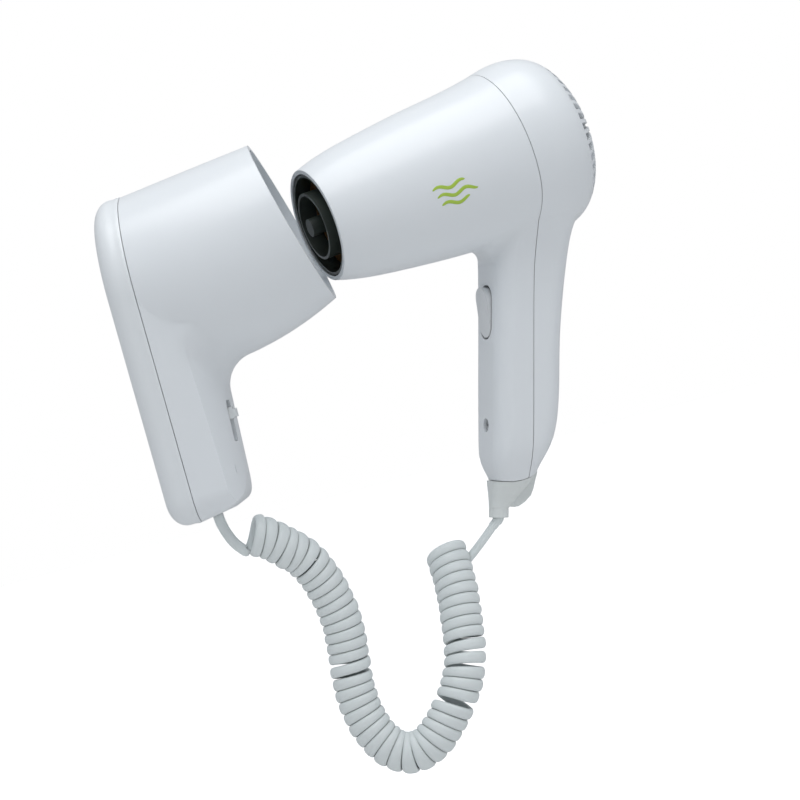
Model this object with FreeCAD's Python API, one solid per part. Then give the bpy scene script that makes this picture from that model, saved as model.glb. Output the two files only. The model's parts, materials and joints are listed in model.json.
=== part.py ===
import FreeCAD, Part
import math
import os
from FreeCAD import Matrix, Placement, Vector

# Hair dryer with a coiled cord, lifted beside its wall holder.
# Millimetres. +X points out of the wall, +Z up; "right" is +Y, as seen facing the wall.
# The origin is on the wall face. Heights are written above the holder's bottom edge and
# moved down by ORIGIN_UP on export. Every piece function is named after its file.

os.makedirs("parts", exist_ok=True)

X, Y, Z = Vector(1, 0, 0), Vector(0, 1, 0), Vector(0, 0, 1)
SIDES = (-1, 1)

# ---------------------------------------------------------------- dimensions
ORIGIN_UP = 70.0          # origin above the holder's bottom edge
WALL = 2.0                # moulded wall thickness of the holder
SEAM_GAP = 0.24           # open gap between neighbouring mouldings
# holder
ARCH_R = 39.5             # radius of the arched top
ARCH_Z = 102.0            # height of the arch centre
TAPER = 6.0               # side taper, degrees
CORNER_R = 12.0           # bottom corner radius
COVER_D = 12.7            # depth of the back cover
DRAFT = 5.0               # inset of the stem at its front
DRAFT_DEPTH = 30.0        # depth over which the stem draws in
STEM_FRONT = 35.6         # furthest stem surface from the wall
CROWN_R = 60.0            # crown radius of the stem front
CROWN_Z, CROWN_LEAN = 40.0, 2.2   # height at STEM_FRONT; lean of the crown axis, degrees
SWEEP_RADII = (14, 11, 9, 7, 5)   # stem-to-cup fillet radii, in order of preference
RIM_X, RIM_Z, RIM_R = 80.0, 112.6, 37.2   # cup rim
RIM_TILT = 15.0           # degrees
SOCKET_R, SOCKET_FLOOR_R = 35.2, 29.5
FLOOR_X = 24.0            # socket floor
MOUTH_OVER = 0.5          # how far the socket cutter passes the rim
BOSSES = [(15.5, 18.0), (-15.5, 18.0), (19.0, 121.0), (-19.0, 121.0)]   # y, z
BOSS_BACK = 5.2
SLOT_Y, SLOT_W, SLOT_Z0, SLOT_Z1 = -10.0, 5.8, 28.9, 46.7
SLOT_CORNER_R = 1.2
KNOB_Z, KNOB_L, KNOB_HALF_W = 41.0, 5.0, 2.4
CORD_X = 17.4             # cord axis inside the holder
FIX_R, FIX_PITCH = 2.5, 70.0      # wall fixing holes
ENTRY_R, ENTRY_Y = 4.0, 16.0      # hole in the back, beside the centre
CLAMP_Z, CLAMP_SCREW_Y = 13.0, 6.5
TERMINAL_X, TERMINAL_Z, TERMINAL_YS = 5.6, 54.5, (-9, -2, 5)
# dryer, in its own frame: x towards its rear, y sideways, z up the handle
AXIS_PITCH = 20.3         # barrel rises this much over the handle's normal, degrees
NOZZLE = Vector(-83.6, 0, 123.3)  # nozzle centre
SEAM_S = 89.1             # shell seam along the barrel axis
SEAM_BEND_Z, SEAM_HANDLE_Z = 127.0, 111.0   # centre and lower end of the seam bend
SEAM_BEND_RUN = 17.0      # bend centre to its upper end
BLEND_R = 6.0             # soft join between barrel and handle
HANDLE_WALL = 2.2
SLOT_COUNT = 46           # radial slots in the rear dome
INTAKE = ((14.0, 0.45), (34.6, 1.45))       # slot ends: radius, half width
ROCKER_Z, ROCKER_HALF_W, ROCKER_GAP = 86.9, 6.0, 0.6
PIVOT_X, PIVOT_R = -2.5, 1.0      # rocker pivot
HANDLE_SCREW_Z = 38.0
COIL_TURN_R = 16.2        # heating coil
COIL_TURNS = [13.0 + 4.0 * i for i in range(9)]
MOTOR_R, MOTOR_INNER_R, HUB_R = 13.6, 12.4, 3.2
SHAFT_R = 1.15
FAN_R, FAN_Z, FAN_DEPTH, FAN_BLADES = 28.6, 89.6, 12.0, 9
NECK_R, SLEEVE_R = 4.3, 2.6       # boot neck, cord end sleeve
CORD_CLAMP_X, CORD_CLAMP_Z, CORD_CLAMP_SCREW_Y = 5.2, 29.5, 7.4
# dryer as it is held up, and its cord
LEAN = 15.0               # cord axis from the vertical, degrees
SWING = 23.6              # turn of the dryer about its cord axis, degrees
REST_POINT = Vector(132.0, 33.5, -30.6)     # dryer origin, on the cord axis
COIL_R, COIL_WALL, CORD_R = 8.5, 2.6, 2.2


# ---------------------------------------------------------------- shape helpers
def cylinder(radius, length, base, direction=Z):
    return Part.makeCylinder(radius, length, base, direction)


def along_x(radius, length, x, y, z):
    return cylinder(radius, length, Vector(x, y, z), X)


def tube(outer_r, inner_r, length, z):
    """Tube on the z axis, starting at z."""
    bore = cylinder(inner_r, length + 2, Vector(0, 0, z - 1))
    return cylinder(outer_r, length, Vector(0, 0, z)).cut(bore)


def box(x0, x1, y0, y1, z0, z1):
    return Part.makeBox(x1 - x0, y1 - y0, z1 - z0, Vector(x0, y0, z0))


def bar(x0, x1, y, half_y, z, half_z):
    """Box along x, centred on y and z."""
    return box(x0, x1, y - half_y, y + half_y, z - half_z, z + half_z)


def fuse(first, *others):
    result = first.multiFuse(list(others)) if others else first
    # Merging coplanar faces can fail; the unmerged solid is then used.
    try:
        result = result.removeSplitter()
    except Exception:
        pass
    return result


def compound(*shapes):
    return Part.makeCompound([solid for shape in shapes for solid in shape.Solids])


def largest(shape):
    return max(shape.Solids, key=lambda solid: solid.Volume)


def arc(start, middle, end):
    return Part.Arc(start, middle, end).toShape()


def polyline(*points):
    return [Part.makeLine(start, end) for start, end in zip(points[:-1], points[1:])]


def spline(points):
    curve = Part.BSplineCurve()
    curve.interpolate(points)
    return curve.toShape()


def rod(points, radius):
    """Round rod through points, with ball corners."""
    points = [Vector(point) for point in points]
    parts = [cylinder(radius, (end - start).Length, start, end - start)
             for start, end in zip(points[:-1], points[1:])]
    parts += [Part.makeSphere(radius, point) for point in points[1:-1]]
    return fuse(*parts)


def prism(outline, half_width):
    """Prism across y over a closed x, z outline."""
    points = [Vector(x, -half_width, z) for x, z in outline + outline[:1]]
    return Part.Face(Part.makePolygon(points)).extrude(Vector(0, 2 * half_width, 0))


def turned(shape, axis, degrees):
    shape.rotate(Vector(0, 0, 0), axis, degrees)
    return shape


def axes_frame(x_axis, y_axis, z_axis, origin):
    columns = (x_axis, y_axis, z_axis, origin)
    rows = [[column[i] for column in columns] for i in range(3)]
    return Placement(Matrix(*rows[0], *rows[1], *rows[2], 0, 0, 0, 1))


def moved(shape, placement):
    result = shape.copy()
    result.Placement = placement.multiply(result.Placement)
    return result


def screw(y, z, head, shank, *slots):
    """Screw along x; head and shank are radius, length, x.

    Each slot is x0, x1, half_y, half_z.
    """
    result = fuse(along_x(*head, y, z), along_x(*shank, y, z))
    for x0, x1, half_y, half_z in slots:
        result = result.cut(bar(x0, x1, y, half_y, z, half_z))
    return result


def surface_kinds(shape, edge):
    faces = shape.ancestorsOfType(edge, Part.Face)
    return sorted(type(face.Surface).__name__ for face in faces)


# ---------------------------------------------------------------- holder
# lower front edge of the stem: x, z
STEM_FOOT = [(18.0, -0.9), (20.3, 0.1), (24.0, 1.9), (27.6, 3.5),
             (30.2, 4.9), (32.2, 7.0), (33.5, 10.2), (34.3, 14.5)]


def arch(x, inset):
    """Arched holder outline at depth x."""
    taper = math.radians(TAPER)
    cos, sin = math.cos(taper), math.sin(taper)
    top_r, corner_r = ARCH_R - inset, CORNER_R - inset
    corner_y = (ARCH_R - CORNER_R + (CORNER_R - ARCH_Z) * sin) / cos
    middle = math.radians((-90 - TAPER) / 2)

    def pair(y, z):
        return Vector(x, y, z), Vector(x, -y, z)

    top, top_left = pair(top_r * cos, ARCH_Z - top_r * sin)
    side, side_left = pair(corner_y + corner_r * cos, CORNER_R - corner_r * sin)
    base, base_left = pair(corner_y, inset)
    corner, corner_left = pair(corner_y + corner_r * math.cos(middle),
                               CORNER_R + corner_r * math.sin(middle))
    return Part.Wire([
        *polyline(base_left, base), arc(base, corner, side),
        *polyline(side, top), arc(top, Vector(x, 0, ARCH_Z + top_r), top_left),
        *polyline(top_left, side_left), arc(side_left, corner_left, base_left)])


def leaning_axis(tilt):
    return Vector(math.cos(math.radians(tilt)), 0, math.sin(math.radians(tilt)))


def ring(x, z, radius, tilt):
    return Part.Wire([Part.makeCircle(radius, Vector(x, 0, z), leaning_axis(tilt))])


def stem(inset):
    body = Part.makeLoft([arch(COVER_D, inset), arch(COVER_D + DRAFT_DEPTH, DRAFT + inset)],
                         True, True)
    axis = leaning_axis(90 - CROWN_LEAN)
    crown_base = Vector(STEM_FRONT - CROWN_R, 0, CROWN_Z) - axis * 90
    body = body.common(cylinder(CROWN_R - inset, 240, crown_base, axis))
    foot = [Vector(x - inset * 0.6, -60, z + inset) for x, z in STEM_FOOT]
    below_foot = polyline(foot[-1], Vector(45, -60, foot[-1].z), Vector(45, -60, -10),
                          Vector(foot[0].x, -60, -10), foot[0])
    foot_face = Part.Face(Part.Wire([spline(foot), *below_foot]))
    return body.cut(foot_face.extrude(Vector(0, 120, 0)))


def cup(inset):
    return Part.makeLoft([ring(COVER_D, ARCH_Z, ARCH_R - inset, 0),
                          ring(45, 104.2, 41.0 - inset, 6),
                          ring(RIM_X, RIM_Z, RIM_R - inset, RIM_TILT)], True, False)


def socket(grow):
    """Tapered space inside the cup, enlarged by grow at its side and floor."""
    mouth = Vector(RIM_X, 0, RIM_Z) + leaning_axis(RIM_TILT) * MOUTH_OVER
    return Part.makeLoft([ring(FLOOR_X - grow, 107.0, SOCKET_FLOOR_R + grow, 8),
                          ring(mouth.x, mouth.z, SOCKET_R + grow, RIM_TILT)], True, True)


def holder_outside():
    """Stem and cup, with a fillet where the stem front meets the cup."""
    plain = stem(0).fuse(cup(0))
    edges = []
    for edge in plain.Edges:
        bounds = edge.BoundBox
        if (bounds.XMin > 24 and bounds.XMax < 60 and bounds.ZMin > 40 and bounds.ZMax < 110
                and edge.Length > 8
                and surface_kinds(plain, edge) == ["BSplineSurface", "Cylinder"]):
            edges.append(edge)
    if not edges:
        return plain
    for radius in SWEEP_RADII:
        # A radius too large for the surfaces raises an error; the next one is tried.
        try:
            swept = plain.makeFillet(radius, edges)
            if swept.isValid() and swept.Volume > plain.Volume:
                return swept
        except Exception:
            continue
    return plain


def switch_slot():
    """Cutter with rounded corners, from x = 28."""
    half_w, corner_r = SLOT_W / 2, SLOT_CORNER_R
    z0, z1 = SLOT_Z0 + corner_r, SLOT_Z1 - corner_r
    corner_y = half_w - corner_r
    return fuse(box(28, 45, SLOT_Y - half_w, SLOT_Y + half_w, z0, z1),
                box(28, 45, SLOT_Y - corner_y, SLOT_Y + corner_y, SLOT_Z0, SLOT_Z1),
                *[along_x(corner_r, 17, 28, SLOT_Y + side * corner_y, z)
                  for side in SIDES for z in (z0, z1)])


def holder_housing():
    inside = stem(WALL).fuse(cup(WALL))
    housing = holder_outside().cut(inside.cut(socket(WALL)))
    housing = housing.cut(socket(0))
    for y, z in BOSSES:
        # The lower bosses reach the stem front, the upper ones the socket floor.
        front_x = STEM_FRONT - 3.5 if z < 60 else FLOOR_X - WALL + 0.3
        housing = housing.fuse(along_x(3.5, front_x - BOSS_BACK, BOSS_BACK, y, z))
    for y, z in BOSSES:
        housing = housing.cut(along_x(1.5, 14.5, 5.0, y, z))
    housing = housing.cut(switch_slot())
    housing = housing.cut(cylinder(3.1, 12, Vector(CORD_X, 0, -6)))
    return largest(housing)


def wall_cover():
    """Shallow tray with a soft back edge, screw seats and clamp posts."""
    steps = 7
    sections = []
    for i in range(steps + 1):
        angle = math.radians(90 * i / steps)
        sections.append(arch(7.5 * (1 - math.cos(angle)), 9.0 * (1 - math.sin(angle))))
    sections += [arch(10.0, 0.0), arch(COVER_D - SEAM_GAP, 0.0)]
    outside = Part.makeLoft(sections, True, False)
    inside = Part.makeLoft([arch(2.5, 9.0), arch(4.2, 5.4), arch(7.5, 3.0),
                            arch(COVER_D + 1, 2.4)], True, True)
    cover = outside.cut(inside)
    for y, z in BOSSES:
        cover = cover.fuse(along_x(4.6, 4.9, 0.1, y, z))
    for y, z in BOSSES:
        cover = cover.cut(along_x(3.2, 2.8, -0.2, y, z)).cut(along_x(1.65, 9, -1, y, z))
    for side in SIDES:
        y = side * CLAMP_SCREW_Y
        cover = cover.fuse(along_x(2.4, 9.6, 2.4, y, CLAMP_Z))
        cover = cover.cut(along_x(1.2, 9, 4.0, y, CLAMP_Z))
    for side in SIDES:
        cover = cover.cut(along_x(FIX_R, 6, -1, 0, ORIGIN_UP + side * FIX_PITCH / 2))
    return largest(cover.cut(along_x(ENTRY_R, 6, -1, ENTRY_Y, ORIGIN_UP)))


def holder_cover_screws():
    return compound(*[screw(y, z, (2.9, 1.9, 0.7), (1.45, 16.4, 2.5),
                            (0.3, 1.5, 2.0, 0.4), (0.3, 1.5, 0.4, 2.0)) for y, z in BOSSES])


def power_switch_body():
    body = box(19.5, 30.4, -16.0, -4.6, 27.0, 50.0)
    body = body.cut(box(29.4, 32, -13.2, -6.8, 28.5, 47.5))
    return fuse(body, *[box(17.5, 19.6, -14.5, -13.5, z, z + 3) for z in (30, 37, 44)])


def power_slide_knob():
    y0, y1 = SLOT_Y - KNOB_HALF_W, SLOT_Y + KNOB_HALF_W
    return fuse(bar(31.6, 36.2, SLOT_Y, KNOB_HALF_W, KNOB_Z, KNOB_L / 2),
                box(36.0, 37.7, y0, y1, KNOB_Z - 2.1, KNOB_Z + 1.5),
                box(30.3, 31.8, SLOT_Y - 2.8, SLOT_Y + 2.8, KNOB_Z - 3.5, KNOB_Z + 3.0))


def terminal_block():
    block = bar(2.5, 13.0, -2.0, 11.0, TERMINAL_Z, 5.5)
    for y in TERMINAL_YS:
        block = block.cut(along_x(2.1, 6, 8.6, y, TERMINAL_Z))
        block = block.cut(along_x(1.5, 3, 6.6, y, TERMINAL_Z))
        block = block.cut(cylinder(1.3, 30, Vector(TERMINAL_X, y, 40)))
    return block


def terminal_screws():
    return compound(*[screw(y, TERMINAL_Z, (1.9, 1.6, 10.4), (1.4, 3.4, 7.1),
                            (11.4, 12.5, 2, 0.4)) for y in TERMINAL_YS])


def holder_cord_clamp():
    clamp = bar(12.2, 23.2, 0, 9.2, CLAMP_Z, 3.0)
    clamp = clamp.cut(cylinder(2.35, 20, Vector(CORD_X, 0, 5)))
    for side in SIDES:
        clamp = clamp.cut(along_x(1.25, 20, 8, side * CLAMP_SCREW_Y, CLAMP_Z))
    return clamp


def holder_clamp_screws():
    return compound(*[screw(side * CLAMP_SCREW_Y, CLAMP_Z, (2.3, 1.6, 23.2), (1.15, 18.2, 5.1),
                            (24.2, 25.5, 3, 0.4)) for side in SIDES])


def holder_wires():
    paths = [
        [(TERMINAL_X, -9, 48.6), (TERMINAL_X, -9, 45), (11, -14, 38.5), (CORD_X, -14, 38.5)],
        [(TERMINAL_X, 5, 48.6), (TERMINAL_X, 5, 40), (15.0, 5, 30), (CORD_X, 1.5, 24.0),
         (CORD_X, 1.5, 21.2)],
        [(16.4, -14, 31.5), (15.2, -12.0, 27.0), (CORD_X, -1.5, 23.5), (CORD_X, -1.5, 21.2)]]
    return compound(*[rod(path, 1.0) for path in paths])


# ---------------------------------------------------------------- dryer shells
PITCH = math.radians(AXIS_PITCH)
BARREL_AXIS = leaning_axis(AXIS_PITCH)
BARREL_UP = Vector(-math.sin(PITCH), 0, math.cos(PITCH))
# barrel frame in the dryer's frame: z runs along the barrel from the nozzle to the rear
BARREL = axes_frame(BARREL_UP, Vector(0, -1, 0), BARREL_AXIS, NOZZLE)

# barrel profiles: radius, distance from the nozzle
BARREL_OUTSIDE = [
    (24.6, 0), (26.7, 7), (30.6, 29), (33.5, 54), (37.5, 89.1), (38.9, 97), (38.6, 107),
    (36.0, 114.2), (30.9, 119.4), (24, 123.2), (16, 126.2), (7.5, 128.0), (0, 128.5)]
BARREL_INSIDE = [
    (22.5, -1), (24.6, 7), (28.5, 29), (31.4, 54), (35.4, 89.1), (36.7, 97), (36.4, 106.6),
    (34.0, 112.7), (29.3, 117.5), (22.8, 121.0), (15.2, 123.9), (7.1, 125.8), (0, 126.3)]
# handle sections: z, front x, rear x, half width, corner radius
HANDLE = [
    (11.5, -3.3, 13.0, 8.4, 5.8), (17.4, -4.3, 15.4, 10.6, 6.4), (23.0, -5.9, 17.6, 12.9, 7.0),
    (28.0, -6.1, 20.2, 14.2, 7.5), (34.0, -6.1, 22.5, 14.8, 8.0), (45.0, -6.1, 24.3, 15.0, 8.0),
    (74.0, -6.1, 25.1, 15.0, 8.0), (98.0, -6.1, 26.8, 15.2, 8.0), (110.0, -6.1, 28.0, 16.2, 8.5),
    (117.0, -6.0, 28.4, 18.2, 9.0), (123.0, -5.7, 28.9, 21.2, 10.0),
    (130.0, -5.0, 30.8, 25.0, 11.0), (138.0, -4.0, 34.6, 28.5, 11.5)]
# seam between handle and boot: x, z
BOOT_SEAM = [(-8, 14.3), (-2.2, 13.8), (3, 13.7), (7, 14.3), (11, 15.6), (14.5, 17.4),
             (17, 20.1), (22, 26)]


def barrel_body(profile):
    (start_r, start), (_, end) = profile[0], profile[-1]
    front, rear = Vector(0, 0, start), Vector(0, 0, end)
    curve = spline([Vector(radius, 0, along) for radius, along in profile])
    outline = Part.Wire([*polyline(front, Vector(start_r, 0, start)), curve,
                         *polyline(rear, front)])
    body = Part.Face(outline).revolve(Vector(0, 0, 0), Z, 360)
    return moved(body, BARREL)


def rounded_section(z, x0, x1, half_w, radius):
    """Rounded rectangle at height z, centred on y = 0."""
    nick = radius * (1 - math.sqrt(0.5))

    def at(x, y):
        return Vector(x, y, z)

    y0, y1 = -half_w, half_w
    return Part.Wire([
        *polyline(at(x0 + radius, y0), at(x1 - radius, y0)),
        arc(at(x1 - radius, y0), at(x1 - nick, y0 + nick), at(x1, y0 + radius)),
        *polyline(at(x1, y0 + radius), at(x1, y1 - radius)),
        arc(at(x1, y1 - radius), at(x1 - nick, y1 - nick), at(x1 - radius, y1)),
        *polyline(at(x1 - radius, y1), at(x0 + radius, y1)),
        arc(at(x0 + radius, y1), at(x0 + nick, y1 - nick), at(x0, y1 - radius)),
        *polyline(at(x0, y1 - radius), at(x0, y0 + radius)),
        arc(at(x0, y0 + radius), at(x0 + nick, y0 + nick), at(x0 + radius, y0))])


def handle(inset):
    return Part.makeLoft(
        [rounded_section(z, x0 + inset, x1 - inset, half_w - inset, max(radius - inset, 2.0))
         for z, x0, x1, half_w, radius in HANDLE], True, False)


def below_seam(raised):
    """Space below the boot seam, with the seam raised."""
    outline = [(x, z + raised) for x, z in BOOT_SEAM]
    return prism(outline + [(22, -30), (-12, -30), (-12, BOOT_SEAM[0][1] + raised)], 30)


def front_region(gap):
    """Space ahead of the shell seam, moved back by gap; the seam bends into the barrel."""
    on_axis = NOZZLE + BARREL_AXIS * SEAM_S
    bend = on_axis + BARREL_UP * ((SEAM_BEND_Z - on_axis.z) / BARREL_UP.z)
    back = BARREL_AXIS * gap
    seam_x = bend.x + gap
    bend_start = Vector(seam_x, 0, SEAM_HANDLE_Z)
    bend_pole = Vector(seam_x, 0, bend.z - gap * math.tan(PITCH / 2))
    bend_end = bend + BARREL_UP * SEAM_BEND_RUN + back
    seam_top = on_axis + BARREL_UP * 60 + back
    curve = Part.BezierCurve()
    curve.setPoles([bend_start, bend_pole, bend_end])
    foot = Vector(seam_x, 0, -40)
    outline = Part.Wire([
        *polyline(foot, bend_start), curve.toShape(),
        *polyline(bend_end, seam_top, Vector(-160, 0, seam_top.z + 20), Vector(-160, 0, -40),
                  foot)])
    outline.translate(Vector(0, -70, 0))
    return Part.Face(outline).extrude(Vector(0, 140, 0))


def intake_slots():
    (inner_r, inner_w), (outer_r, outer_w) = INTAKE
    corners = [Vector(inner_r, -inner_w, 100), Vector(outer_r, -outer_w, 100),
               Vector(outer_r, outer_w, 100), Vector(inner_r, inner_w, 100)]
    face = Part.Face(Part.makePolygon(corners + corners[:1]))
    return Part.makeCompound(
        [moved(turned(face.extrude(Vector(0, 0, 40)), Z, 360 * i / SLOT_COUNT), BARREL)
         for i in range(SLOT_COUNT)])


def pill(half_w, z0, z1, x0, x1):
    """Upright slot shape with round ends."""
    return fuse(box(x0, x1, -half_w, half_w, z0 + half_w, z1 - half_w),
                along_x(half_w, x1 - x0, x0, 0, z0 + half_w),
                along_x(half_w, x1 - x0, x0, 0, z1 - half_w))


def dryer_shell():
    outside = barrel_body(BARREL_OUTSIDE).fuse(handle(0))
    join = [edge for edge in outside.Edges
            if edge.BoundBox.ZMin > 100 and edge.BoundBox.ZMax < 165
            and surface_kinds(outside, edge) == ["BSplineSurface", "SurfaceOfRevolution"]]
    outside = outside.makeFillet(BLEND_R, join)
    outside = outside.cut(below_seam(SEAM_GAP / 2))
    shell = outside.cut(barrel_body(BARREL_INSIDE).fuse(handle(HANDLE_WALL)))
    shell = shell.cut(intake_slots())
    return shell.cut(pill(ROCKER_HALF_W + ROCKER_GAP, 75.2, 98.9, -12, -2))


SHELL = dryer_shell()


def front_shell():
    front = largest(SHELL.common(front_region(-SEAM_GAP / 2)))
    front = front.fuse(along_x(4.6, 6.2, -4.8, 0, HANDLE_SCREW_Z))
    front = front.cut(along_x(3.0, 5.0, -8, 0, HANDLE_SCREW_Z))
    return largest(front.cut(along_x(1.6, 12, -5, 0, HANDLE_SCREW_Z)))


def rear_shell():
    rear = largest(SHELL.cut(front_region(SEAM_GAP / 2)))
    rear = rear.fuse(along_x(3.6, 19.8, 1.6, 0, HANDLE_SCREW_Z))
    return largest(rear.cut(along_x(1.5, 14, 1.0, 0, HANDLE_SCREW_Z)))


def handle_screw():
    return screw(0, HANDLE_SCREW_Z, (2.8, 1.7, -4.75), (1.45, 16.2, -3.1),
                 (-5.5, -3.9, 0.4, 2.2), (-5.5, -3.9, 2.2, 0.4))


# ---------------------------------------------------------------- barrel pieces, barrel frame
def outlet_grille():
    """Two rings and a hub, joined by thin spokes."""
    parts = [tube(22.3, 21.2, 7.2, 0.5), tube(14.7, 13.5, 7.6, -1.5),
             cylinder(3.85, 9.6, Vector(0, 0, -3.4))]
    # spokes: count, first angle, inner and outer radius, z0
    for count, first, inner_r, outer_r, z0 in ((3, 20, 3.0, 14.0, 3.0), (4, 35, 14.0, 21.6, 4.4)):
        for i in range(count):
            spoke = box(inner_r, outer_r, -0.35, 0.35, z0, 6.1)
            parts.append(turned(spoke, Z, first + 360 / count * i))
    return fuse(*parts)


def heat_shield_tube():
    return tube(22.4, 21.8, 51.6, 8.0)


def heater_mica_frame():
    """Crossed plates, notched for the coil turns."""
    frame = fuse(box(-17, 17, -0.4, 0.4, 9.5, 55), box(-0.4, 0.4, -17, 17, 9.5, 55))
    for z in COIL_TURNS:
        frame = frame.cut(Part.makeTorus(COIL_TURN_R, 0.85, Vector(0, 0, z), Z))
    return frame


def heating_coil():
    return compound(*[Part.makeTorus(COIL_TURN_R, 0.45, Vector(0, 0, z), Z)
                      for z in COIL_TURNS])


def thermostat():
    return box(1.5, 7.5, 0.4, 4.6, 46, 54)


def thermal_fuse():
    return cylinder(1.6, 9, Vector(-5, -2.0, 44.5))


def fan_duct():
    """Motor support with seven slanted vanes."""
    parts = [tube(31.0, 29.2, 27, 60.0), tube(17.0, 15.0, 27, 60.0), tube(31.0, 21.8, 1.4, 59.7)]
    for i in range(7):
        vane = turned(box(16.4, 29.8, -0.7, 0.7, 62, 86), X, 14)
        vane = turned(vane, Z, 360 / 7 * i)
        parts.append(vane.common(tube(30.0, 16.2, 24.5, 62.0)))
    return largest(fuse(*parts))


def motor_damping_ring():
    return tube(15.0, MOTOR_R, 16, 66)


def motor_can():
    return fuse(tube(MOTOR_R, MOTOR_INNER_R, 22, 62), tube(MOTOR_R, HUB_R, 1.4, 84))


def motor_end_cap():
    return tube(MOTOR_R, HUB_R, 1.5, 60.5)


def motor_bearings():
    return compound(tube(HUB_R, 1.2, 3.4, 83.2), tube(HUB_R, 1.2, 2.4, 59.6))


def motor_magnets():
    return compound(tube(MOTOR_INNER_R, 10.5, 17, 65).cut(box(-20, 20, -4, 4, 60, 90)))


def motor_brushes():
    return compound(box(3.7, 9.0, -1.2, 1.2, 62.3, 64.6), box(-9.0, -3.7, -1.2, 1.2, 62.3, 64.6))


def rectifier_board():
    """Round board with four blocks."""
    return compound(tube(12.5, 4.0, 1.5, 57.6),
                    *[box(x - 2.2, x + 2.2, y - 1.3, y + 1.3, 55.2, 57.6)
                      for x in (-7, 7) for y in (-5, 5)])


def inlet_filter_screen():
    holes = []
    # circles of holes: circle radius, count
    for radius, count in ((5, 8), (9.5, 14), (14, 20), (18.5, 26), (23, 32), (27.5, 38), (32, 44)):
        for i in range(count):
            angle = 2 * math.pi * i / count
            base = Vector(radius * math.cos(angle), radius * math.sin(angle), 106)
            holes.append(cylinder(1.5, 4, base))
    return cylinder(35.1, 1.2, Vector(0, 0, 108.0)).cut(Part.makeCompound(holes))


def motor_shaft():
    return cylinder(SHAFT_R, 39.0, Vector(0, 0, 59.4))


def motor_armature():
    return compound(fuse(tube(9.7, SHAFT_R, 13.5, 66.5), tube(3.5, SHAFT_R, 4.6, 62.2)))


def fan_impeller():
    base = Vector(0, 0, FAN_Z)
    shaft_hole = cylinder(SHAFT_R, 8.8, base)
    parts = [cylinder(8.0, FAN_DEPTH, base).cut(shaft_hole)]
    for i in range(FAN_BLADES):
        blade = turned(box(7.4, 29.5, -0.55, 0.55, -6.5, 6.5), X, 38)
        blade.translate(Vector(0, 0, FAN_Z + FAN_DEPTH / 2))
        parts.append(turned(blade, Z, 360 / FAN_BLADES * i))
    impeller = fuse(*parts).common(cylinder(FAN_R, FAN_DEPTH, base))
    return largest(impeller.cut(shaft_hole))


# ---------------------------------------------------------------- handle pieces, dryer frame
# space ahead of the sloping rocker face: x, z
ROCKER_FACE = [(-9.6, 101), (-12, 101), (-12, 73), (-5.9, 73), (-6.1, 77), (-7.6, 88),
               (-8.9, 96), (-9.3, 101)]
# boot and inner plug sections, columns as in HANDLE
BOOT = [(2.0, -4.2, 4.2, 4.2, 3.7), (4.5, -4.2, 6.5, 4.9, 4.4), (7.2, -4.15, 8.4, 5.9, 4.8),
        (10.7, -4.05, 11.2, 7.4, 5.2), (15.2, -3.9, 14.2, 9.3, 5.8), (20.5, -3.8, 16.8, 11.0, 6.2)]
BOOT_PLUG = [(9.0, 1.6, 7.4, 3.8, 2.4), (17.0, 1.4, 10.5, 5.0, 3.0), (24.0, 0.6, 11.0, 5.6, 3.0)]
# hanging tab outline: x, z
BOOT_TAB = [(15.0, 19.0), (17.0, 19.4), (17.2, 17.3), (16.1, 13.4), (15.4, 10.4), (14.1, 7.3),
            (11.2, 4.4), (8.4, 2.7), (6.1, 2.3), (3.0, 3.0), (3.0, 8.0), (9.0, 13.0)]


def speed_rocker():
    cap = pill(ROCKER_HALF_W, 76.0, 97.8, -9.4, -4.9).cut(prism(ROCKER_FACE, 10))
    lug = fuse(bar(-5.4, PIVOT_X, 0, 3.4, ROCKER_Z, 2.0),
               cylinder(2.0, 6.8, Vector(PIVOT_X, -3.4, ROCKER_Z), Y))
    return fuse(cap, lug).cut(cylinder(PIVOT_R + 0.05, 10, Vector(PIVOT_X, -5, ROCKER_Z), Y))


def rocker_switch_body():
    ears = [bar(PIVOT_X - 1.4, 1.2, side * 4.3, 0.6, ROCKER_Z, 1.4) for side in SIDES]
    pin = cylinder(PIVOT_R, 8.6, Vector(PIVOT_X, -4.3, ROCKER_Z), Y)
    return fuse(box(1.0, 12.0, -6.0, 6.0, 77.0, 97.0), *ears, pin)


def cord_boot():
    """Boot with its neck, hanging tab and a plug up into the handle."""
    boot = Part.makeLoft([rounded_section(*row) for row in BOOT], True, False)
    boot = boot.common(below_seam(-SEAM_GAP / 2))
    boot = fuse(boot, cylinder(NECK_R, 5.2, Vector(0, 0, -2.1)))
    boot = boot.fuse(prism(BOOT_TAB, 2.6).common(below_seam(-SEAM_GAP / 2)))
    plug = Part.makeLoft([rounded_section(*row) for row in BOOT_PLUG], True, True)
    boot = boot.fuse(plug)
    boot = boot.cut(cylinder(SLEEVE_R + 0.06, 14, Vector(0, 0, -4)))
    boot = boot.cut(cylinder(3.25, 3.2, Vector(0, 0, 9.6)))
    return largest(boot.cut(cylinder(2.3, 24, Vector(-0.4, 0, 11.0), Vector(5.8, 0, 14.6))))


def cord_end_sleeve():
    """End of the cord, with a collar; it turns in the boot's neck."""
    return fuse(cylinder(SLEEVE_R, 17.0, Vector(0, 0, -6.0)),
                cylinder(3.1, 2.2, Vector(0, 0, 10.0)))


def handset_cord_clamp():
    clamp = bar(1.4, 13.0, 0, 10.6, CORD_CLAMP_Z, 2.5)
    clamp = clamp.cut(cylinder(2.6, 10, Vector(CORD_CLAMP_X, 0, 25)))
    for side in SIDES:
        clamp = clamp.cut(along_x(1.25, 20, 0, side * CORD_CLAMP_SCREW_Y, CORD_CLAMP_Z))
    return clamp


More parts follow.
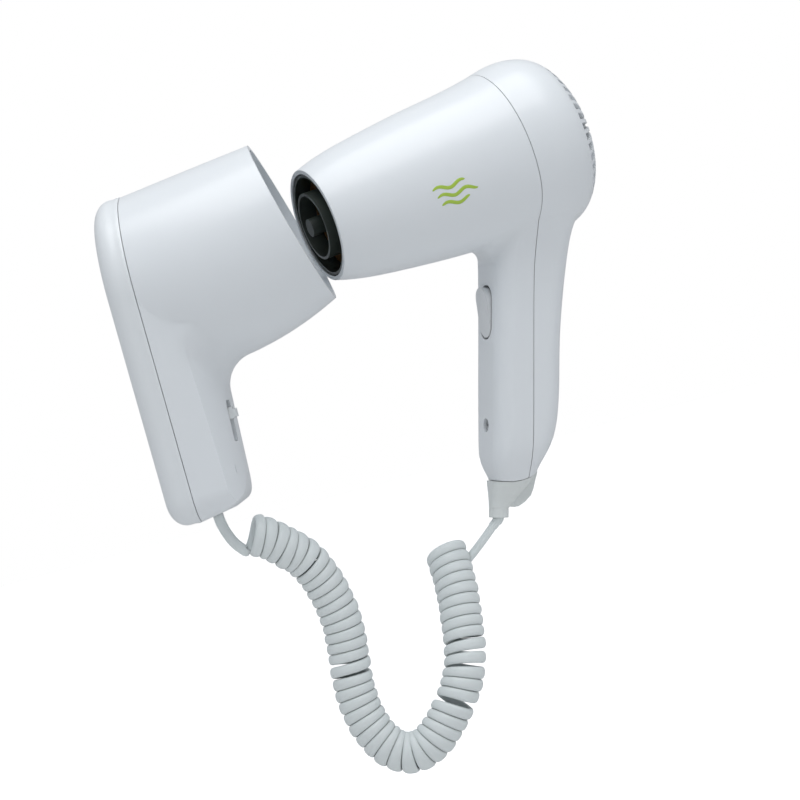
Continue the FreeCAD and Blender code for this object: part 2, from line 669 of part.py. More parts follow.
def handset_clamp_screws():
    return compound(*[screw(side * CORD_CLAMP_SCREW_Y, CORD_CLAMP_Z, (2.3, 1.5, -0.1),
                            (1.15, 13.4, 1.4), (-0.5, 0.6, 0.4, 2.5)) for side in SIDES])


def handset_wires():
    """Two mirrored pairs, below and above the rocker switch."""
    paths = [[(CORD_CLAMP_X, 1.3, 26.8), (CORD_CLAMP_X, 1.3, 33.2), (CORD_CLAMP_X, 6.8, 35.0),
              (6, 7.5, 43), (6, 4, 60), (6, 4, 76.8)],
             [(6, 4, 97.2), (7, 4, 108), (6, 3, 119)]]
    return compound(*[rod([(x, side * y, z) for x, y, z in path], 0.95)
                      for path in paths for side in (1, -1)])


# ---------------------------------------------------------------- lifted dryer and its cord
LEAN_RAD, SWING_RAD = math.radians(LEAN), math.radians(SWING)
REST_AXIS = leaning_axis(90 - LEAN)
UNSWUNG_X = Vector(math.cos(LEAN_RAD), 0, -math.sin(LEAN_RAD))
REST = axes_frame(UNSWUNG_X * math.cos(SWING_RAD) + Y * math.sin(SWING_RAD),
                  UNSWUNG_X * -math.sin(SWING_RAD) + Y * math.cos(SWING_RAD),
                  REST_AXIS, REST_POINT)
# centre line of the hanging coil, from the holder to the dryer: x, y, z
COIL_PATH = [
    (30.0, 0.3, -11.6), (40.6, 2.3, -19.6), (49.3, 4.4, -31.6), (53.9, 6.5, -46.2),
    (55.4, 8.7, -61.7), (54.3, 10.3, -73.5), (53.2, 12.4, -88.0), (55.6, 14.9, -104.2),
    (61.0, 16.4, -114.2), (67.2, 17.6, -119.0), (74.4, 18.7, -119.4), (82.5, 20.0, -115.0),
    (92.1, 22.0, -105.0), (98.7, 23.6, -95.0), (104.0, 26.4, -77.0), (106.0, 29.0, -58.7),
    (105.1, 31.5, -41.0)]


def coiled_cord():
    """The coil as a hollow rod, with a plain cord tail at each end."""
    path = [Vector(point) for point in COIL_PATH]
    coil = rod(path, COIL_R).cut(rod(path[1:-1], COIL_R - COIL_WALL))
    holder_tail = rod([(CORD_X, 0, 20.5), (CORD_X, 0, -0.6), (18.5, 0.1, -7.0),
                       (21.4, 0.1, -13.4), (26.0, 0.3, -16.4),
                       path[1] * 0.25 + path[0] * 0.75], CORD_R)
    dryer_tail = rod([path[-1] * 0.75 + path[-2] * 0.25, (105.4, 31.6, -38.6),
                      (110.0, 32.0, -43.0), (114.5, 32.4, -44.8), (119.6, 32.7, -42.6),
                      (125.4, 33.0, -39.6), REST_POINT - REST_AXIS * 8.2,
                      REST_POINT - REST_AXIS * 6.2], CORD_R)
    return largest(fuse(coil, holder_tail, dryer_tail))


# ---------------------------------------------------------------- export
def export(placement, *pieces):
    for piece in pieces:
        shape = moved(piece(), placement)
        shape.translate(Vector(0, 0, -ORIGIN_UP))
        shape.exportStep(f"parts/{piece.__name__}.step")


export(Placement(), holder_housing, wall_cover, holder_cover_screws, power_switch_body,
       power_slide_knob, terminal_block, terminal_screws, holder_cord_clamp,
       holder_clamp_screws, holder_wires, coiled_cord)
export(REST, front_shell, rear_shell, handle_screw, speed_rocker, rocker_switch_body,
       cord_boot, cord_end_sleeve, handset_cord_clamp, handset_clamp_screws, handset_wires)
export(REST.multiply(BARREL), outlet_grille, heat_shield_tube, heater_mica_frame, heating_coil,
       thermostat, thermal_fuse, fan_duct, motor_damping_ring, motor_can, motor_end_cap,
       motor_bearings, motor_magnets, motor_brushes, rectifier_board, inlet_filter_screen,
       motor_shaft, motor_armature, fan_impeller)
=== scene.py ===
"""A handset with a fan and a heater, its holder, and the coiled cord that joins them.

Z is up and X runs from the holder on the left to the handset on the right, seen from -Y.
The CAD pieces get procedural materials; the cord and the printed mark are built here.
"""
import bpy, bmesh, math, json
import numpy as np
from mathutils import Vector, Matrix
from mathutils.bvhtree import BVHTree


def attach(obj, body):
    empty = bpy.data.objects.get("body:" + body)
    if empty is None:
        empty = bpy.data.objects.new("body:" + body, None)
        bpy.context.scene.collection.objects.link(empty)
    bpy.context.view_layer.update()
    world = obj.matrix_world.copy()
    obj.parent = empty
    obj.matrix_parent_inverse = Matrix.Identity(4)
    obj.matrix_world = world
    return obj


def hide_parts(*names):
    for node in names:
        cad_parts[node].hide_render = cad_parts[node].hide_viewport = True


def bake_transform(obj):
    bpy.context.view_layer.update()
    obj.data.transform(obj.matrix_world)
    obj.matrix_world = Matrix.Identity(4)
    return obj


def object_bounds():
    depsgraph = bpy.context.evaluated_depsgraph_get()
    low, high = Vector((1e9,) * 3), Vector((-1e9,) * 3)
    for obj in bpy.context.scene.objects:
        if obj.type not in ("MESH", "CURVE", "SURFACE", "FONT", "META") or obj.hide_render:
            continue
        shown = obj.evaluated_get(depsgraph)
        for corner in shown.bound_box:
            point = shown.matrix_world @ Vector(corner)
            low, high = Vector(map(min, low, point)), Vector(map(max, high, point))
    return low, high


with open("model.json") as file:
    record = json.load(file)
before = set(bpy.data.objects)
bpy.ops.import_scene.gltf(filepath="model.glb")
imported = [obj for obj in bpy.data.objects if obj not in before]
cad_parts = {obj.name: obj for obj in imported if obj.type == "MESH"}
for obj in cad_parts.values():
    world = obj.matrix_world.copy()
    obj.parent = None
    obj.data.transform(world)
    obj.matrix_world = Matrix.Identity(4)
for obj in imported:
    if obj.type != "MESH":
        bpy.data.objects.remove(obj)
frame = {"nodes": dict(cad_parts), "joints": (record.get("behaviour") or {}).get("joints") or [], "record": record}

cad_lo, cad_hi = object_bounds()
NODES = frame["nodes"]
JOINTS = {joint["name"]: joint for joint in frame["joints"]}

# level directions of the view, turned a little about Z
VIEW_YAW = math.radians(2.8)
LEVEL_RIGHT = Vector((math.cos(VIEW_YAW), math.sin(VIEW_YAW), 0))
FORWARD = Vector((-math.sin(VIEW_YAW), math.cos(VIEW_YAW), 0))


# ------------------------------------------------------------------ shader helpers
def feed(tree, node, inputs):
    """Link sockets and set plain values; None leaves an input alone."""
    for key, value in inputs.items():
        if isinstance(value, bpy.types.NodeSocket):
            tree.links.new(value, node.inputs[key])
        elif value is not None:
            node.inputs[key].default_value = value


def add_node(tree, kind, inputs, **settings):
    node = tree.nodes.new(kind)
    for key, value in settings.items():
        setattr(node, key, value)
    feed(tree, node, inputs)
    return node


def new_material(name):
    material = bpy.data.materials.new(name)
    material.use_nodes = True
    tree = material.node_tree
    tree.nodes.clear()
    output = tree.nodes.new("ShaderNodeOutputMaterial")
    shader = tree.nodes.new("ShaderNodeBsdfPrincipled")
    tree.links.new(shader.outputs["BSDF"], output.inputs["Surface"])
    return material, tree, shader


def object_coords(tree, scale=(1, 1, 1)):
    coords = tree.nodes.new("ShaderNodeTexCoord")
    return add_node(tree, "ShaderNodeMapping",
                    {"Scale": scale, "Vector": coords.outputs["Object"]}).outputs["Vector"]


def noise(tree, coords, scale, detail=3.0):
    return add_node(tree, "ShaderNodeTexNoise",
                    {"Scale": scale, "Detail": detail, "Roughness": 0.5,
                     "Vector": coords}).outputs["Fac"]


def remap(tree, value, to, source=(0.0, 1.0)):
    """Map the source range to another one, clamped."""
    return add_node(tree, "ShaderNodeMapRange",
                    {"From Min": source[0], "From Max": source[1],
                     "To Min": to[0], "To Max": to[1], "Value": value}).outputs["Result"]


def mix_colour(tree, factor, first, second):
    first, second = ((*c, 1.0) if isinstance(c, tuple) else c for c in (first, second))
    # sockets 6, 7 and output 2 are the colour ones
    return add_node(tree, "ShaderNodeMix", {0: factor, 6: first, 7: second},
                    data_type="RGBA").outputs[2]


def bump(tree, height, strength, distance, normal=None):
    return add_node(tree, "ShaderNodeBump",
                    {"Strength": strength, "Distance": distance, "Height": height,
                     "Normal": normal}).outputs["Normal"]


def bevel(tree, radius, samples=4):
    return add_node(tree, "ShaderNodeBevel", {"Radius": radius},
                    samples=samples).outputs["Normal"]


def shade(colour, factors):
    return tuple(c * k for c, k in zip(colour, factors))


# ------------------------------------------------------------------ materials
MATERIALS = {}


def soften_box(tree, coords, normal, box):
    """Blend in a wide bevel inside an x, z box of the part, fading at its four sides."""
    x_lo, x_hi, z_lo, z_hi, radius = box
    xyz = add_node(tree, "ShaderNodeSeparateXYZ", {0: coords})
    # axis, source range, target range
    fades = (("X", (x_lo, x_lo + 0.004), (0.0, 1.0)),
             ("X", (x_hi - 0.006, x_hi), (1.0, 0.0)),
             ("Z", (z_lo, z_lo + 0.010), (0.0, 1.0)),
             ("Z", (z_hi - 0.006, z_hi), (1.0, 0.0)))
    mask = None
    for axis, source, to in fades:
        fade = remap(tree, xyz.outputs[axis], to, source)
        if mask is None:
            mask = fade
        else:
            mask = add_node(tree, "ShaderNodeMath", {0: mask, 1: fade},
                            operation="MULTIPLY").outputs[0]
    wide = bevel(tree, radius, samples=8)
    # sockets 4, 5 and output 1 are the vector ones
    return add_node(tree, "ShaderNodeMix", {0: mask, 4: normal, 5: wide},
                    data_type="VECTOR").outputs[1]


def plastic(name, colour, rough, grain, waviness, coat, edge, subsurface, soft_box=None):
    """Moulded plastic: flow waviness, fine grain, uneven gloss, painted shade darkening the colour in creases,
    round edges.
    """
    material, tree, shader = new_material(name)
    coords = object_coords(tree)

    patches = remap(tree, noise(tree, coords, scale=14, detail=2), to=(0.0, 0.5),
                    source=(0.3, 0.8))
    base = mix_colour(tree, patches, colour, shade(colour, (0.975, 0.975, 0.97)))
    # painted shade: the base colour darkens where ambient occlusion finds nooks and creases
    occlusion = add_node(tree, "ShaderNodeAmbientOcclusion", {"Distance": 0.0022}, samples=4)
    painted_crevice_shade = remap(tree, occlusion.outputs["AO"], to=(1.0, 0.0), source=(0.25, 0.75))
    base = mix_colour(tree, painted_crevice_shade, base, shade(colour, (0.80, 0.79, 0.77)))
    gloss = remap(tree, noise(tree, coords, scale=38, detail=2), to=rough,
                  source=(0.25, 0.75))

    normal = bevel(tree, edge) if edge else None
    if soft_box:
        normal = soften_box(tree, coords, normal, soft_box)
    normal = bump(tree, noise(tree, coords, scale=160, detail=1), strength=waviness,
                  distance=0.00012, normal=normal)
    normal = bump(tree, noise(tree, coords, scale=2600, detail=2), strength=grain,
                  distance=0.00015, normal=normal)

    feed(tree, shader, {"Base Color": base, "Roughness": gloss, "Normal": normal,
                        "Coat Weight": coat, "Coat Roughness": 0.28})
    if subsurface:
        feed(tree, shader, {"Subsurface Weight": subsurface,
                            "Subsurface Radius": (0.002, 0.002, 0.0018),
                            "Subsurface Scale": 1.0})
    MATERIALS[name] = material


def metal(name, colour, rough):
    """Metal brushed along Z, with blotches and slightly rounded edges."""
    material, tree, shader = new_material(name)
    brushing = noise(tree, object_coords(tree, scale=(1, 1, 0.05)), scale=1800)
    blotches = noise(tree, object_coords(tree), scale=120, detail=4)
    base = mix_colour(tree, remap(tree, blotches, to=(0.0, 1.0), source=(0.45, 0.7)),
                      colour, shade(colour, (0.8, 0.8, 0.8)))
    feed(tree, shader, {
        "Base Color": base,
        "Roughness": remap(tree, brushing, to=(rough * 0.75, rough * 1.35),
                           source=(0.3, 0.7)),
        "Metallic": 1.0,
        "Normal": bump(tree, brushing, strength=0.25, distance=0.0001,
                       normal=bevel(tree, 0.0002))})
    MATERIALS[name] = material


def mica():
    """Layered flakes with warm glints."""
    material, tree, shader = new_material("mica")
    flakes = add_node(tree, "ShaderNodeTexVoronoi",
                      {"Scale": 600, "Vector": object_coords(tree)}).outputs["Distance"]
    feed(tree, shader, {
        "Base Color": mix_colour(tree, flakes, (0.55, 0.33, 0.14), (0.34, 0.20, 0.09)),
        "Roughness": remap(tree, flakes, to=(0.2, 0.5)),
        "Metallic": 0.3,
        "Normal": bump(tree, flakes, strength=0.4, distance=0.0002)})
    MATERIALS["mica"] = material


WHITE = (0.765, 0.80, 0.83)
EDGE = 0.00035
# x range, z range, bevel radius
HOLDER_SOFT_BOX = (0.0155, 0.052, -0.012, 0.036, 0.007)

# name, colour, roughness range, grain, waviness, coat, edge radius, subsurface, soft box
OUTER_PLASTICS = (
    ("shell_gloss", WHITE, (0.285, 0.325), 0.03, 0.05, 0.35, EDGE, 0.04),
    ("holder_gloss", WHITE, (0.285, 0.325), 0.03, 0.05, 0.35, EDGE, 0.04, HOLDER_SOFT_BOX),
    ("shell_plain", (0.765, 0.80, 0.825), (0.285, 0.36), 0.05, 0.06, 0.2, EDGE, 0.04),
    ("knob_plastic", (0.74, 0.77, 0.78), (0.285, 0.38), 0.05, 0.05, 0.2, 0.0003, 0),
    ("rocker", (0.72, 0.745, 0.765), (0.285, 0.40), 0.08, 0.04, 0.15, 0.0005, 0),
    ("cream_plastic", (0.80, 0.80, 0.76), (0.4, 0.55), 0.2, 0.05, 0.0, EDGE, 0),
    ("black_plastic", (0.013, 0.016, 0.015), (0.32, 0.5), 0.25, 0.08, 0.05, 0.0002, 0),
    ("boot_rubber", (0.70, 0.735, 0.73), (0.42, 0.56), 0.5, 0.1, 0.0, 0.0004, 0.08),
    ("cord_rubber", (0.72, 0.77, 0.775), (0.34, 0.46), 0.35, 0.08, 0.1, 0, 0.06),
    ("wire_sleeve", (0.20, 0.09, 0.05), (0.4, 0.5), 0.2, 0.05, 0.0, 0, 0),
)
# name, colour, roughness
METALS = (
    ("screw_steel", (0.60, 0.61, 0.62), 0.28),
    ("brass", (0.72, 0.54, 0.25), 0.3),
    ("heater_wire", (0.42, 0.34, 0.28), 0.4),
    ("copper", (0.70, 0.33, 0.16), 0.35),
)
# columns as in OUTER_PLASTICS
OTHER_PLASTICS = (
    ("magnet", (0.06, 0.06, 0.065), (0.5, 0.7), 0.4, 0.1, 0.0, EDGE, 0),
    ("board", (0.36, 0.27, 0.10), (0.4, 0.5), 0.1, 0.05, 0.1, EDGE, 0),
    ("switch_white", (0.60, 0.62, 0.63), (0.4, 0.5), 0.2, 0.05, 0.0, EDGE, 0),
    ("grille", (0.040, 0.050, 0.045), (0.285, 0.34), 0.3, 0.08, 0.3, 0.0004, 0),
    ("seam", (0.05, 0.052, 0.052), (0.6, 0.7), 0.1, 0.05, 0.0, 0, 0),
)
for row in OUTER_PLASTICS:
    plastic(*row)
for row in METALS:
    metal(*row)
for row in OTHER_PLASTICS:
    plastic(*row)
mica()
plastic("mark", (0.40, 0.58, 0.07), rough=(0.3, 0.42), grain=0.1, waviness=0.03, coat=0.1,
        edge=0, subsurface=0)

# pieces whose look differs from their recorded slot
OWN_LOOK = {"speed_rocker": "rocker", "power_switch_body": "switch_white",
            "outlet_grille": "grille", "holder_housing": "holder_gloss"}
recorded = {part["node"]: part["material_slot"] for part in frame["record"]["subparts"]}
for name, piece in NODES.items():
    look = OWN_LOOK.get(name, recorded.get(name, "cream_plastic"))
    piece.data.materials.clear()
    piece.data.materials.append(MATERIALS[look])


def finish_mesh(mesh, bm, material):
    """Write the bmesh out with outward, smooth faces and link an object of the same name."""
    bmesh.ops.recalc_face_normals(bm, faces=bm.faces)
    bm.to_mesh(mesh)
    bm.free()
    for polygon in mesh.polygons:
        polygon.use_smooth = True
    mesh.materials.append(MATERIALS[material])
    made = bpy.data.objects.new(mesh.name, mesh)
    bpy.context.scene.collection.objects.link(made)
    return made


# ------------------------------------------------------------------ coiled cord
# Millimetres, with z measured from the holder's bottom edge.
HOLDER_BOTTOM = np.array([0, 0, -70.0])
# x, y, z along the middle of the coil
COIL_CENTRE = [
    (30.0, 0.3, -11.6), (36.0, 2.2, -15.3), (40.9, 4.3, -20.1), (46.0, 6.6, -25.0),
    (49.8, 8.7, -31.8), (52.4, 10.3, -39.2), (54.0, 11.4, -46.2), (55.1, 12.1, -53.4),
    (55.4, 12.5, -61.7), (54.5, 12.7, -72.9), (53.3, 12.7, -84.1), (53.6, 12.6, -94.8),
    (55.9, 12.5, -104.7), (60.5, 12.4, -113.4), (67.0, 12.4, -118.6), (74.4, 12.6, -119.2),
    (82.5, 13.0, -115.0), (91.6, 14.2, -105.8), (98.7, 16.0, -95.4), (102.8, 18.6, -84.0),
    (105.0, 22.8, -69.0), (106.0, 26.4, -58.7), (105.8, 30.8, -48.0), (105.1, 33.8, -40.8)]
# x, y, z of the tail that leaves the holder downwards
HOLDER_TAIL = [(17.4, 0, 18), (17.4, 0, 8), (17.4, 0, -0.6), (18.5, 0.1, -6.6),
               (21.0, 0.1, -12.6), (24.6, 0.2, -17.2)]
# x, y, z of the tail that leads up to the handset
HANDSET_TAIL = [(113.2, 33.6, -47.4), (118.6, 33.4, -43.4), (124.2, 33.3, -38.9),
                (128.6, 33.4, -35.2)]
# open spots: place along the coil (0 to 1), half width, drop in turn density
OPEN_SPOTS = ((0.345, 0.011, 0.34), (0.805, 0.010, 0.34), (0.770, 0.010, 0.36),
              (0.695, 0.012, 0.52), (0.12, 0.01, 0.15))
WHOLE_TURNS = 46
COIL_END_SIDE = np.array([0.55, 0.83, 0.0])    # where the coil's last point sits
COIL_RADIUS = 9.0                              # outside
HALF_WIDTH, HALF_HEIGHT = 2.30, 1.55           # cord section along and across the coil
SECTION_POWER = 0.88                           # below 1 squares the section a little
SECTION_POINTS = 16
POINTS_PER_TURN = 36
LINE_SAMPLES = 4000
# width directions of the flat section in the two tails
HOLDER_TAIL_WIDE = np.array([0.94, 0.0, 0.34])
HANDSET_TAIL_WIDE = np.array([0.35, -0.88, -0.30])

turn_axis = np.array(Vector(JOINTS["handset_turn"]["axis"]))
pivot = np.array(Vector(JOINTS["handset_turn"]["pos_m"]) * 1000) - HOLDER_BOTTOM


def catmull(points, steps=24):
    p = [np.array(q, float) for q in points]
    p = [2 * p[0] - p[1]] + p + [2 * p[-1] - p[-2]]
    curve = []
    for i in range(1, len(p) - 2):
        a, b, c, d = p[i - 1:i + 3]
        for k in range(steps):
            t = k / steps
            curve.append(0.5 * ((2 * b) + (c - a) * t + (2 * a - 5 * b + 4 * c - d) * t * t
                                + (3 * b - a - 3 * c + d) * t ** 3))
    curve.append(p[-2])
    return np.array(curve)


def hermite(start, start_pull, end, end_pull, count):
    t = np.linspace(0, 1, count)[:, None]
    return ((2 * t ** 3 - 3 * t ** 2 + 1) * start + (t ** 3 - 2 * t ** 2 + t) * start_pull
            + (-2 * t ** 3 + 3 * t ** 2) * end + (t ** 3 - t ** 2) * end_pull)


def smooth(values, rounds):
    """Average each value with its neighbours, in place; the two ends stay."""
    for _ in range(rounds):
        values[1:-1] = 0.25 * values[:-2] + 0.5 * values[1:-1] + 0.25 * values[2:]
    return values


def resample(points, count):
    """Even spacing along a polyline; also gives its length."""
    gaps = np.linalg.norm(np.diff(points, axis=0), axis=1)
    along = np.concatenate([[0], np.cumsum(gaps)])
    even = np.linspace(0, along[-1], count)
    return np.stack([np.interp(even, along, points[:, i]) for i in range(3)], 1), along[-1]


def unit(vectors):
    return vectors / np.linalg.norm(vectors, axis=-1, keepdims=True)


def carried_frames(points):
    """Tangent and two normals carried along a polyline."""
    tangent = unit(np.gradient(points, axis=0))
    normal = np.zeros_like(points)
    normal[0] = unit(np.cross(tangent[0], [0, 1, 0]))
    for i in range(1, len(points)):
        carried = normal[i - 1]
        normal[i] = unit(carried - np.dot(carried, tangent[i]) * tangent[i])
    return tangent, normal, np.cross(tangent, normal)


def rows_at(rows, index):
    """Rows at fractional indices."""
    low = np.clip(np.floor(index).astype(int), 0, len(rows) - 2)
    part = (index - low)[:, None]
    return rows[low] * (1 - part) + rows[low + 1] * part


def wind_coil(line):
    """Coil points, the coil's axis at each, and how far the bend spreads the turns there."""
    _, normal, binormal = (f[-1] for f in carried_frames(resample(line, 800)[0]))
    end_angle = math.atan2(np.dot(COIL_END_SIDE, binormal), np.dot(COIL_END_SIDE, normal))
    turns = WHOLE_TURNS + (end_angle / (2 * math.pi)) % 1.0

    centre, length = resample(line, LINE_SAMPLES)
    tangent, normal, binormal = carried_frames(centre)
    place = np.linspace(0, 1, LINE_SAMPLES)
    density = np.ones(LINE_SAMPLES)
    for middle, width, drop in OPEN_SPOTS:
        density *= 1 - drop * np.exp(-((place - middle) / width) ** 2)
    phase = np.concatenate([[0], np.cumsum(0.5 * (density[1:] + density[:-1]))])
    phase = phase / phase[-1] * 2 * math.pi * turns

    angle = np.linspace(0, phase[-1], int(round(turns * POINTS_PER_TURN)) + 1)
    index = np.interp(angle, phase, np.arange(LINE_SAMPLES))
    outward = (np.cos(angle)[:, None] * rows_at(normal, index)
               + np.sin(angle)[:, None] * rows_at(binormal, index))
    # the radius wavers, and grows a little towards the handset
    turn = angle / (2 * math.pi)
    waver = 0.10 * np.sin(turn * 2.4) + 0.08 * np.sin(turn * 5.7 + 1)
    radius = COIL_RADIUS - HALF_HEIGHT + waver + 0.35 * np.clip((turn - 30) / 14, 0, 1)
    offset = outward * radius[:, None]

    # turns spread on the outside of a bend and close up inside
    curvature = smooth(np.gradient(tangent, axis=0) / (length / (LINE_SAMPLES - 1)), 30)
    spread = np.clip(1 - (rows_at(curvature, index) * offset).sum(1), 0.72, 1.45)
    return rows_at(centre, index) + offset, rows_at(tangent, index), spread


def sweep(path, wide, spread):
    """Closed tube with a flat section in the coil and a round one in the boot."""
    across = np.cross(unit(np.gradient(path, axis=0)), wide)
    section = []
    for k in range(SECTION_POINTS):
        angle = 2 * math.pi * k / SECTION_POINTS
        section.append([math.copysign(abs(v) ** SECTION_POWER, v)
                        for v in (math.cos(angle), math.sin(angle))])
    verts, faces = [], []
    for i, point in enumerate(path):
        to_pivot = np.linalg.norm(point - pivot)
        if i > len(path) - 40 and to_pivot < 7:
            half_width, half_height = 2.3, 2.3 if to_pivot < 4 else 1.9
        else:
            half_width, half_height = HALF_WIDTH * spread[i], HALF_HEIGHT
        for x, y in section:
            p = point + wide[i] * (half_width * x) + across[i] * (half_height * y)
            verts.append(tuple((p + HOLDER_BOTTOM) / 1000))
    for i in range(len(path) - 1):
        for k in range(SECTION_POINTS):
            a = i * SECTION_POINTS + k
            b = i * SECTION_POINTS + (k + 1) % SECTION_POINTS
            faces.append((a, b, b + SECTION_POINTS, a + SECTION_POINTS))
    faces.append(tuple(range(SECTION_POINTS))[::-1])
    faces.append(tuple(range(len(verts) - SECTION_POINTS, len(verts))))
    return verts, faces


def build_cord():
    coil, coil_axis, coil_spread = wind_coil(smooth(catmull(COIL_CENTRE), 40))
    coil_run = unit(np.gradient(coil, axis=0))

    # down out of the holder's bottom and round under the first turn
    start = catmull(HOLDER_TAIL, 10)
    joint = hermite(start[-1], np.array([9.0, 0, -7.0]), coil[0], coil_run[0] * 16, 26)
    start = np.concatenate([start, joint[1:-1]])
    # from the last turn along the handset's turning axis
    end = smooth(catmull(HANDSET_TAIL + [pivot + turn_axis * d for d in (-2.4, 1.5, 9.0)],
                         12), 18)
    joint = hermite(coil[-1], coil_run[-1] * 10, end[0], unit(end[1] - end[0]) * 10, 20)
    end = np.concatenate([joint[1:], end[1:]])
    path = np.concatenate([start, coil, end])

    # the flat side follows the coil's axis, and blends to a fixed direction in the tails
    in_coil = np.concatenate([np.zeros(len(start)), np.ones(len(coil)), np.zeros(len(end))])
    weight = smooth(in_coil, 60)[:, None]
    axis = np.concatenate([np.tile(coil_axis[0], (len(start), 1)), coil_axis,
                           np.tile(coil_axis[-1], (len(end), 1))])
    tail_wide = np.where(np.arange(len(path))[:, None] <= len(start),
                         HOLDER_TAIL_WIDE, HANDSET_TAIL_WIDE)
    wide = axis * weight + tail_wide * (1 - weight)
    run = unit(np.gradient(path, axis=0))
    wide = unit(wide - (wide * run).sum(1)[:, None] * run)
    spread = smooth(np.concatenate([np.ones(len(start)), coil_spread,
                                    np.ones(len(end))]), 6)

    verts, faces = sweep(path, wide, spread)
    mesh = bpy.data.meshes.new("cord_coil")
    mesh.from_pydata(verts, [], faces)
    mesh.update()
    bm = bmesh.new()
    bm.from_mesh(mesh)
    return finish_mesh(mesh, bm, "cord_rubber")


cord = build_cord()
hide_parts("coiled_cord", "cord_end_sleeve")
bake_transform(cord)

# ------------------------------------------------------------------ printed mark
# Three wavy stripes laid on the barrel, in metres along it and round it.
BARREL_RADIUS = 0.034
STRIPE_LENGTHS = (0.0150, 0.0185, 0.0130)
STRIPE_START, STRIPE_STAGGER = 0.0420, 0.0012    # along the barrel
STRIPE_ROUND, STRIPE_PITCH = -0.0063, 0.0038     # round the barrel
STRIPE_HALF_WIDTH = 0.00075
STRIPE_POINTS = 46
WAVE_HEIGHT, WAVE_LENGTH = 0.0009, 0.0105
# section of a stripe: share of its half width, lift off the barrel
STRIPE_SECTION = ((-1, -0.00004), (-1, 0.00005), (-0.5, 0.00007),
                  (0.5, 0.00007), (1, 0.00005), (1, -0.00004))

barrel_axis = Vector(JOINTS["fan_spin"]["axis"]).normalized()
barrel_origin = Vector(JOINTS["fan_spin"]["pos_m"]) - barrel_axis * 0.095
# across the barrel: towards the viewer, and upwards
barrel_near = (-FORWARD + barrel_axis * FORWARD.dot(barrel_axis)).normalized()
barrel_up = barrel_axis.cross(barrel_near)
if barrel_up.z < 0:
    barrel_up = -barrel_up
shell_tree = BVHTree.FromObject(NODES["front_shell"], bpy.context.evaluated_depsgraph_get())


def on_barrel(along, around, lift):
    """Point on the front shell, raised by lift."""
    angle = around / BARREL_RADIUS
    outward = barrel_near * math.cos(angle) + barrel_up * math.sin(angle)
    middle = barrel_origin + barrel_axis * along
    return shell_tree.ray_cast(middle + outward * 0.08, -outward)[0] + outward * lift


def add_stripe(bm, points):
    """Thin closed ribbon with tapered ends."""
    last = len(points) - 1
    rows = []
    for i, (along, around) in enumerate(points):
        before, after = points[max(i - 1, 0)], points[min(i + 1, last)]
        dx, dy = after[0] - before[0], after[1] - before[1]
        length = math.hypot(dx, dy)
        taper = math.sqrt(max(0.0, 1 - (2 * i / last - 1) ** 4))
        half = STRIPE_HALF_WIDTH * taper + 0.00004
        rows.append([bm.verts.new(on_barrel(along - dy / length * half * side,
                                            around + dx / length * half * side, lift))
                     for side, lift in STRIPE_SECTION])
    count = len(STRIPE_SECTION)
    for a, b in zip(rows[:-1], rows[1:]):
        for k in range(count):
            n = (k + 1) % count
            bm.faces.new((a[k], a[n], b[n], b[k]))
    bm.faces.new(rows[0][::-1])
    bm.faces.new(rows[-1])


def build_mark():
    bm = bmesh.new()
    for k, length in enumerate(STRIPE_LENGTHS):
        points = []
        for i in range(STRIPE_POINTS):
            run = length * i / (STRIPE_POINTS - 1)
            wave = WAVE_HEIGHT * math.sin(2 * math.pi * run / WAVE_LENGTH)
            points.append((STRIPE_START + STRIPE_STAGGER * k + run,
                           STRIPE_ROUND - STRIPE_PITCH * k + wave))
        add_stripe(bm, points)
    return finish_mesh(bpy.data.meshes.new("barrel_mark"), bm, "mark")


mark = build_mark()
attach(mark, "handset")

# ------------------------------------------------------------------ camera
scene = bpy.context.scene
CAMERA_ROLL = math.radians(15.0)
CAMERA_DISTANCE = 1.134
UP_Z = Vector((0, 0, 1))
RIGHT = LEVEL_RIGHT * math.cos(CAMERA_ROLL) - UP_Z * math.sin(CAMERA_ROLL)
UP = LEVEL_RIGHT * math.sin(CAMERA_ROLL) + UP_Z * math.cos(CAMERA_ROLL)
view_centre = LEVEL_RIGHT * 0.1046 + UP_Z * -0.0422

camera_data = bpy.data.cameras.new("cam")
camera_data.lens = 120
camera_data.sensor_width = 36
camera_data.clip_end = 60
camera = bpy.data.objects.new("cam", camera_data)
scene.collection.objects.link(camera)
eye = view_centre - FORWARD * CAMERA_DISTANCE
camera.matrix_world = Matrix((RIGHT, UP, -FORWARD, eye)).transposed().to_4x4() \
    if False else Matrix([(RIGHT[i], UP[i], -FORWARD[i], eye[i]) for i in range(3)]
                         + [(0, 0, 0, 1)])
scene.camera = camera

# ------------------------------------------------------------------ lights
LIGHT_TARGET = Vector((0.1, 0.0, 0.0))


def area_light(name, offsets, size, power, glossy=True):
    """Square light aimed at the target; offsets are added to the target in turn."""
    data = bpy.data.lights.new(name, "AREA")
    data.size = size
    data.energy = power
    light = bpy.data.objects.new(name, data)
    scene.collection.objects.link(light)
    light.location = sum(offsets, LIGHT_TARGET)
    aim = LIGHT_TARGET - light.location
    light.rotation_euler = aim.to_track_quat("-Z", "Y").to_euler()
    light.visible_glossy = glossy


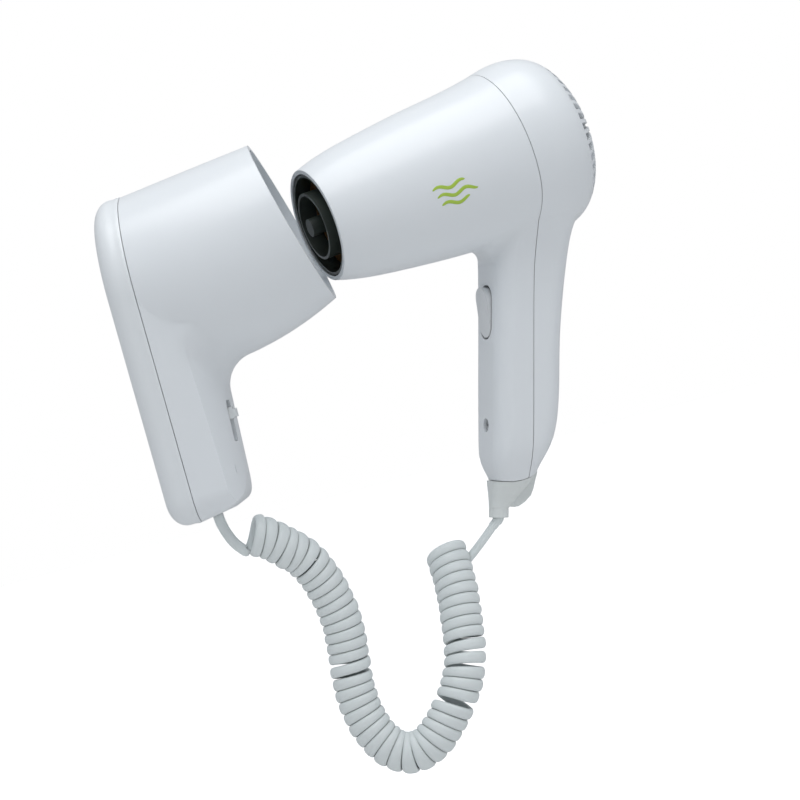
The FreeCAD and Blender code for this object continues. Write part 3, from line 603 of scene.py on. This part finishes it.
area_light("top", (UP * 0.85, FORWARD * -0.25, RIGHT * -0.1), size=0.9, power=5.6)
area_light("front_left", (FORWARD * -1.0, RIGHT * -0.9, UP * 0.55), size=0.6, power=1.35,
           glossy=False)
area_light("front_right", (FORWARD * -0.9, RIGHT * 0.9, UP * 0.2), size=0.5, power=0.5,
           glossy=False)


# ------------------------------------------------------------------ world and floor
def build_world():
    """Cool light that grows with height; the camera sees plain white."""
    world = bpy.data.worlds.new("world")
    scene.world = world
    world.use_nodes = True
    tree = world.node_tree
    coords = tree.nodes.new("ShaderNodeTexCoord")
    xyz = add_node(tree, "ShaderNodeSeparateXYZ", {0: coords.outputs["Generated"]})
    sky = tree.nodes["Background"]
    feed(tree, sky, {"Color": (0.93, 0.96, 1.0, 1),
                     "Strength": remap(tree, xyz.outputs["Z"], to=(0.37, 0.57),
                                       source=(-0.6, 0.8))})
    rays = tree.nodes.new("ShaderNodeLightPath")
    white = add_node(tree, "ShaderNodeBackground", {"Color": (1, 1, 1, 1), "Strength": 1.0})
    mixed = add_node(tree, "ShaderNodeMixShader", {0: rays.outputs["Is Camera Ray"],
                                                   1: sky.outputs[0], 2: white.outputs[0]})
    feed(tree, tree.nodes["World Output"], {0: mixed.outputs[0]})


def build_floor():
    material, tree, shader = new_material("floor")
    rays = tree.nodes.new("ShaderNodeLightPath")
    feed(tree, shader, {
        "Base Color": (0.72, 0.72, 0.72, 1),
        "Roughness": remap(tree, noise(tree, object_coords(tree), scale=30),
                           to=(0.6, 0.75)),
        "Emission Color": (1, 1, 1, 1),
        "Emission Strength": remap(tree, rays.outputs["Is Camera Ray"], to=(0.10, 0.75))})
    # mirror rays pass through, so no horizon line shows in the gloss
    clear = tree.nodes.new("ShaderNodeBsdfTransparent")
    mixed = add_node(tree, "ShaderNodeMixShader",
                     {0: rays.outputs["Is Glossy Ray"], 1: shader.outputs["BSDF"],
                      2: clear.outputs["BSDF"]})
    feed(tree, tree.nodes["Material Output"], {"Surface": mixed.outputs[0]})
    bpy.ops.mesh.primitive_circle_add(vertices=96, radius=6.0, fill_type="NGON",
                                      location=(0.1, 0, cad_lo[2] - 0.05))
    floor = bpy.context.object
    floor.name = "floor"
    floor.data.materials.append(material)


build_world()
build_floor()
scene.view_settings.view_transform = "Standard"
scene.view_settings.look = "None"
